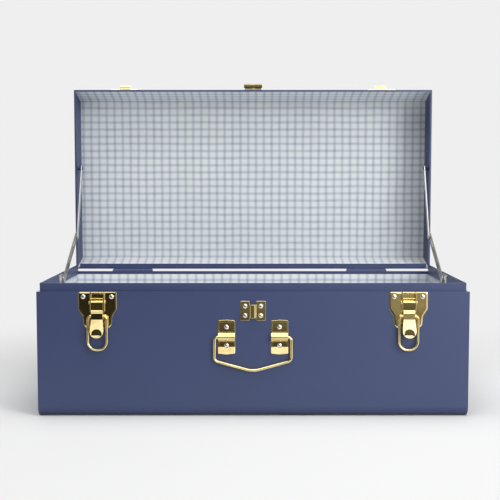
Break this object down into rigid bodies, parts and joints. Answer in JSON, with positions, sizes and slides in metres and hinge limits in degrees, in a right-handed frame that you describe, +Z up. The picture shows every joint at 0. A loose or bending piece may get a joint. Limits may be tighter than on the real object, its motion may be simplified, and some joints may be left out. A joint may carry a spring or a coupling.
{
  "type": "trunk",
  "caption": "Low steel travelling trunk with rounded long edges, a lined base and lid, a stepped neck, draw latches, a hasp and staple, a hanging bail handle and folding lid stays.",
  "frame": {"origin": "centre of the flat underside of the base", "axes": "X along the trunk's width to the viewer's right, Y from the latch side to the hinge side, Z up; stored with the lid open"},
  "size_m": [0.55, 0.3493, 0.4486],
  "materials": {
    "painted_steel": "slate-blue satin enamel on sheet steel",
    "lining_board": "printed paper on board, pale blue with a fine check",
    "brass_plate": "polished brass plate",
    "brass_wire": "polished round wire",
    "bright_rivet": "bright domed rivets",
    "stay_steel": "bright plated strip steel"
  },
  "bodies": {
    "base": {"base_wrap": "painted_steel", "base_end_left": "painted_steel", "base_end_right": "painted_steel", "neck_frame": "painted_steel", "base_lining_wrap": "lining_board", "base_lining_end_left": "lining_board", "base_lining_end_right": "lining_board", "latch_plate_left": "brass_plate", "latch_plate_right": "brass_plate", "latch_pin_left": "brass_plate", "latch_pin_right": "brass_plate", "latch_rivets": "bright_rivet", "handle_bracket_left": "brass_plate", "handle_bracket_right": "brass_plate", "handle_rivets": "bright_rivet", "staple_plate": "brass_plate", "staple_rivets": "bright_rivet", "hinge_base_leaf_left": "painted_steel", "hinge_base_leaf_right": "painted_steel", "hinge_pin_left": "painted_steel", "hinge_pin_right": "painted_steel", "hinge_base_rivets": "painted_steel", "stay_base_bracket_left": "stay_steel", "stay_base_bracket_right": "stay_steel", "stay_base_pin_left": "stay_steel", "stay_base_pin_right": "stay_steel", "stay_base_rivets": "stay_steel"},
    "lid": {"lid_wrap": "painted_steel", "lid_end_left": "painted_steel", "lid_end_right": "painted_steel", "lid_lining_panel": "lining_board", "lid_lining_front": "lining_board", "lid_lining_rear": "lining_board", "catch_plate_left": "brass_plate", "catch_plate_right": "brass_plate", "catch_rivets": "bright_rivet", "hasp_plate": "brass_plate", "hasp_pin": "brass_plate", "hasp_rivets": "bright_rivet", "hinge_lid_leaf_left": "painted_steel", "hinge_lid_leaf_right": "painted_steel", "hinge_lid_rivets": "painted_steel", "stay_lid_bracket_left": "painted_steel", "stay_lid_bracket_right": "painted_steel", "stay_lid_pin_left": "painted_steel", "stay_lid_pin_right": "painted_steel"},
    "latch_lever_left": {"latch_lever_left": "brass_plate"},
    "latch_loop_left": {"latch_loop_left": "brass_wire"},
    "latch_lever_right": {"latch_lever_right": "brass_plate"},
    "latch_loop_right": {"latch_loop_right": "brass_wire"},
    "handle_bail": {"handle_bail": "brass_wire"},
    "hasp_strap": {"hasp_strap": "brass_plate"},
    "stay_lower_left": {"stay_lower_arm_left": "stay_steel"},
    "stay_upper_left": {"stay_upper_arm_left": "stay_steel", "stay_elbow_pin_left": "stay_steel"},
    "stay_lower_right": {"stay_lower_arm_right": "stay_steel"},
    "stay_upper_right": {"stay_upper_arm_right": "stay_steel", "stay_elbow_pin_right": "stay_steel"}
  },
  "joints": [
    {"name": "lid_hinge", "type": "hinge", "parent": "base", "child": "lid", "pos_m": [0, 0.14105, 0.1605], "axis": [1, 0, 0], "range_deg": [0, 90]},
    {"name": "latch_lever_left_turn", "type": "hinge", "parent": "base", "child": "latch_lever_left", "pos_m": [-0.1973, -0.14215, 0.147], "axis": [-1, 0, 0], "range_deg": [0, 140]},
    {"name": "latch_loop_left_turn", "type": "hinge", "parent": "latch_lever_left", "child": "latch_loop_left", "pos_m": [-0.1973, -0.14195, 0.1297], "axis": [1, 0, 0], "range_deg": [-180, 0]},
    {"name": "latch_lever_right_turn", "type": "hinge", "parent": "base", "child": "latch_lever_right", "pos_m": [0.1973, -0.14215, 0.147], "axis": [-1, 0, 0], "range_deg": [0, 140]},
    {"name": "latch_loop_right_turn", "type": "hinge", "parent": "latch_lever_right", "child": "latch_loop_right", "pos_m": [0.1973, -0.14195, 0.1297], "axis": [1, 0, 0], "range_deg": [-180, 0]},
    {"name": "handle_swing", "type": "hinge", "parent": "base", "child": "handle_bail", "pos_m": [0, -0.14045, 0.1026], "axis": [-1, 0, 0], "range_deg": [0, 160]},
    {"name": "hasp_swing", "type": "hinge", "parent": "lid", "child": "hasp_strap", "pos_m": [0, 0.14505, 0.4454], "axis": [1, 0, 0], "range_deg": [0, 180]},
    {"name": "stay_lower_left_turn", "type": "hinge", "parent": "base", "child": "stay_lower_left", "pos_m": [-0.2685, 0.01005, 0.1605], "axis": [1, 0, 0], "range_deg": [-24, 0]},
    {"name": "stay_upper_left_turn", "type": "hinge", "parent": "lid", "child": "stay_upper_left", "pos_m": [-0.2665, 0.15605, 0.32], "axis": [1, 0, 0], "range_deg": [0, 22]},
    {"name": "stay_lower_right_turn", "type": "hinge", "parent": "base", "child": "stay_lower_right", "pos_m": [0.2685, 0.01005, 0.1605], "axis": [1, 0, 0], "range_deg": [-24, 0]},
    {"name": "stay_upper_right_turn", "type": "hinge", "parent": "lid", "child": "stay_upper_right", "pos_m": [0.2665, 0.15605, 0.32], "axis": [1, 0, 0], "range_deg": [0, 22]}
  ],
  "couplings": [
    {"joint": "stay_lower_left_turn", "follows": "lid_hinge", "ratio": -0.263},
    {"joint": "stay_upper_left_turn", "follows": "lid_hinge", "ratio": 0.234},
    {"joint": "stay_lower_right_turn", "follows": "lid_hinge", "ratio": -0.263},
    {"joint": "stay_upper_right_turn", "follows": "lid_hinge", "ratio": 0.234}
  ]
}
